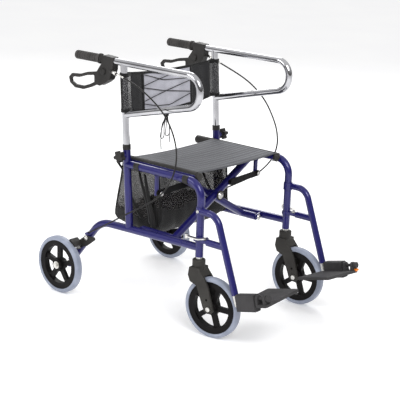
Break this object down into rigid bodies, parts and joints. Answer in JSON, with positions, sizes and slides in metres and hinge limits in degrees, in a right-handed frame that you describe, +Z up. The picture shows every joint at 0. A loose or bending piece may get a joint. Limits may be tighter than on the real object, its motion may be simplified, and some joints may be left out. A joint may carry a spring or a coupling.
{
  "type": "rollator walker",
  "caption": "Folding rollator with a sling seat, backrest, storage bag, cable brakes, swivelling front wheels and swing-away footrests.",
  "frame": {"origin": "floor level, at the centre of the overall length and width", "axes": "+Z up; -Y the walking direction; +X the left hand of a person who faces -Y"},
  "size_m": [0.606, 0.981, 0.8455],
  "materials": {
    "frame_paint": "gloss",
    "chrome_tube": "polished",
    "zinc": "satin",
    "black_plastic": "moulded",
    "grip_rubber": "ribbed",
    "tyre": "matte",
    "rim_plastic": "moulded",
    "seat_fabric": "woven",
    "back_fabric": "mesh",
    "bag_fabric": "woven",
    "cable_sheath": "smooth",
    "lace_cord": "braided"
  },
  "bodies": {
    "right_frame": {"right_front_tube": "frame_paint", "right_rear_upright": "frame_paint", "right_height_collar": "black_plastic", "right_lower_rail": "frame_paint", "right_cross_mount": "frame_paint", "right_rear_axle": "zinc", "right_caster_stem": "zinc", "right_brake_cable": "cable_sheath", "seat_sling": "seat_fabric", "storage_bag": "bag_fabric"},
    "cross_a": {"cross_frame_a": "frame_paint", "left_seat_tube": "frame_paint"},
    "cross_b": {"cross_frame_b": "frame_paint", "right_seat_tube": "frame_paint"},
    "left_frame": {"left_front_tube": "frame_paint", "left_rear_upright": "frame_paint", "left_height_collar": "black_plastic", "left_lower_rail": "frame_paint", "left_cross_mount": "frame_paint", "left_rear_axle": "zinc", "left_caster_stem": "zinc", "left_brake_cable": "cable_sheath"},
    "right_caster": {"right_caster_fork": "black_plastic", "right_front_axle": "zinc"},
    "right_front_wheel": {"right_front_tyre": "tyre", "right_front_rim": "rim_plastic"},
    "right_rear_wheel": {"right_rear_tyre": "tyre", "right_rear_rim": "rim_plastic"},
    "right_hanger": {"right_foot_hanger": "frame_paint"},
    "right_latch": {"right_foot_latch": "zinc"},
    "right_extension": {"right_foot_extension": "zinc", "right_foot_hinge_block": "black_plastic"},
    "right_plate": {"right_footplate": "black_plastic"},
    "right_handle": {"right_armrest_frame": "chrome_tube", "right_hand_grip": "grip_rubber", "right_brake_housing": "black_plastic", "backrest_sling": "back_fabric", "back_lace": "lace_cord"},
    "right_lever": {"right_brake_lever": "black_plastic"},
    "right_knob": {"right_star_knob": "black_plastic"},
    "right_brake": {"right_brake_arm": "black_plastic"},
    "right_link": {"right_guide_link": "black_plastic"},
    "left_caster": {"left_caster_fork": "black_plastic", "left_front_axle": "zinc"},
    "left_front_wheel": {"left_front_tyre": "tyre", "left_front_rim": "rim_plastic"},
    "left_rear_wheel": {"left_rear_tyre": "tyre", "left_rear_rim": "rim_plastic"},
    "left_hanger": {"left_foot_hanger": "frame_paint"},
    "left_latch": {"left_foot_latch": "zinc"},
    "left_extension": {"left_foot_extension": "zinc", "left_foot_hinge_block": "black_plastic"},
    "left_plate": {"left_footplate": "black_plastic"},
    "left_handle": {"left_armrest_frame": "chrome_tube", "left_hand_grip": "grip_rubber", "left_brake_housing": "black_plastic"},
    "left_lever": {"left_brake_lever": "black_plastic"},
    "left_knob": {"left_star_knob": "black_plastic"},
    "left_brake": {"left_brake_arm": "black_plastic"},
    "left_link": {"left_guide_link": "black_plastic"}
  },
  "joints": [
    {"name": "fold", "type": "hinge", "parent": "right_frame", "child": "cross_a", "pos_m": [-0.2, -0.0045, 0.28], "axis": [0, -1, 0], "range_deg": [0, 46], "deforming": ["seat_sling", "storage_bag", "backrest_sling", "back_lace"]},
    {"name": "centre_pivot", "type": "hinge", "parent": "cross_a", "child": "cross_b", "pos_m": [0, -0.0415, 0.393], "axis": [0, -1, 0], "range_deg": [-92, 0]},
    {"name": "left_frame_pivot", "type": "hinge", "parent": "cross_b", "child": "left_frame", "pos_m": [0.2, -0.0045, 0.28], "axis": [0, -1, 0], "range_deg": [0, 46]},
    {"name": "right_caster_swivel", "type": "hinge", "parent": "right_frame", "child": "right_caster", "pos_m": [-0.226, -0.1945, 0.24], "axis": [0, 0, 1], "continuous": true},
    {"name": "right_front_wheel_spin", "type": "hinge", "parent": "right_caster", "child": "right_front_wheel", "pos_m": [-0.21891, -0.25307, 0.1], "axis": [-0.9928, -0.1201, 0], "continuous": true},
    {"name": "right_rear_wheel_spin", "type": "hinge", "parent": "right_frame", "child": "right_rear_wheel", "pos_m": [-0.278, 0.3905, 0.1], "axis": [1, 0, 0], "continuous": true},
    {"name": "right_footrest_swing", "type": "hinge", "parent": "right_frame", "child": "right_hanger", "pos_m": [-0.226, -0.1945, 0.36], "axis": [0, 0, -1], "range_deg": [0, 90]},
    {"name": "right_footrest_latch", "type": "hinge", "parent": "right_hanger", "child": "right_latch", "pos_m": [-0.226, -0.2245, 0.323], "axis": [0, 0, 1], "range_deg": [0, 20], "stiffness_Nm_per_rad": 0.05},
    {"name": "right_footrest_height", "type": "slide", "parent": "right_hanger", "child": "right_extension", "axis": [0, -0.3386, -0.9409], "range_m": [0, 0.05]},
    {"name": "right_footplate_flip", "type": "hinge", "parent": "right_extension", "child": "right_plate", "pos_m": [-0.234, -0.3605, 0.163], "axis": [0, -0.9703, 0.2419], "range_deg": [0, 90.1]},
    {"name": "right_handle_height", "type": "slide", "parent": "right_frame", "child": "right_handle", "axis": [0, 0.0739, 0.9973], "range_m": [-0.075, 0.05], "deforming": ["right_brake_cable"]},
    {"name": "right_lever_squeeze", "type": "hinge", "parent": "right_handle", "child": "right_lever", "pos_m": [-0.226, 0.2615, 0.765], "axis": [1, 0, 0], "range_deg": [0, 18], "stiffness_Nm_per_rad": 0.6, "springref_deg": -11.46},
    {"name": "right_brake_press", "type": "hinge", "parent": "right_frame", "child": "right_brake", "pos_m": [-0.226, 0.33331, 0.1695], "axis": [-1, 0, 0], "range_deg": [0, 4.8]},
    {"name": "right_knob_turn", "type": "hinge", "parent": "right_frame", "child": "right_knob", "pos_m": [-0.246, 0.13103, 0.527], "axis": [-1, 0, 0], "continuous": true},
    {"name": "left_caster_swivel", "type": "hinge", "parent": "left_frame", "child": "left_caster", "pos_m": [0.226, -0.1945, 0.24], "axis": [0, 0, 1], "continuous": true},
    {"name": "left_front_wheel_spin", "type": "hinge", "parent": "left_caster", "child": "left_front_wheel", "pos_m": [0.23012, -0.25336, 0.1], "axis": [-0.9976, -0.0698, 0], "continuous": true},
    {"name": "left_rear_wheel_spin", "type": "hinge", "parent": "left_frame", "child": "left_rear_wheel", "pos_m": [0.278, 0.3905, 0.1], "axis": [1, 0, 0], "continuous": true},
    {"name": "left_footrest_swing", "type": "hinge", "parent": "left_frame", "child": "left_hanger", "pos_m": [0.226, -0.1945, 0.36], "axis": [0, 0, 1], "range_deg": [0, 90]},
    {"name": "left_footrest_latch", "type": "hinge", "parent": "left_hanger", "child": "left_latch", "pos_m": [0.226, -0.2245, 0.323], "axis": [0, 0, -1], "range_deg": [0, 20], "stiffness_Nm_per_rad": 0.05},
    {"name": "left_footrest_height", "type": "slide", "parent": "left_hanger", "child": "left_extension", "axis": [0, -0.3386, -0.9409], "range_m": [0, 0.05]},
    {"name": "left_footplate_flip", "type": "hinge", "parent": "left_extension", "child": "left_plate", "pos_m": [0.234, -0.3605, 0.163], "axis": [0, 0.9703, -0.2419], "range_deg": [0, 90.1]},
    {"name": "left_handle_height", "type": "slide", "parent": "left_frame", "child": "left_handle", "axis": [0, 0.0739, 0.9973], "range_m": [-0.075, 0.05], "deforming": ["left_brake_cable"]},
    {"name": "left_lever_squeeze", "type": "hinge", "parent": "left_handle", "child": "left_lever", "pos_m": [0.226, 0.2615, 0.765], "axis": [1, 0, 0], "range_deg": [0, 18], "stiffness_Nm_per_rad": 0.6, "springref_deg": -11.46},
    {"name": "left_brake_press", "type": "hinge", "parent": "left_frame", "child": "left_brake", "pos_m": [0.226, 0.33331, 0.1695], "axis": [-1, 0, 0], "range_deg": [0, 4.8]},
    {"name": "left_knob_turn", "type": "hinge", "parent": "left_frame", "child": "left_knob", "pos_m": [0.246, 0.13103, 0.527], "axis": [1, 0, 0], "continuous": true},
    {"name": "right_link_pivot", "type": "hinge", "parent": "right_frame", "child": "right_link", "pos_m": [-0.204, 0.0052, 0.42], "axis": [0, -1, 0], "range_deg": [0, 74]},
    {"name": "left_link_pivot", "type": "hinge", "parent": "left_frame", "child": "left_link", "pos_m": [0.204, -0.078, 0.434], "axis": [0, 1, 0], "range_deg": [0, 77]}
  ],
  "couplings": [
    {"joint": "centre_pivot", "follows": "fold", "ratio": -2},
    {"joint": "left_frame_pivot", "follows": "fold", "ratio": 1},
    {"joint": "right_footplate_flip", "follows": "fold", "ratio": 1.9565},
    {"joint": "right_brake_press", "follows": "right_lever_squeeze", "ratio": 0.26667},
    {"joint": "left_footplate_flip", "follows": "fold", "ratio": 1.9565},
    {"joint": "left_brake_press", "follows": "left_lever_squeeze", "ratio": 0.26667},
    {"joint": "left_handle_height", "follows": "right_handle_height", "ratio": 1},
    {"joint": "right_link_pivot", "follows": "fold", "ratio": 1.6},
    {"joint": "left_link_pivot", "follows": "fold", "ratio": 1.66}
  ]
}
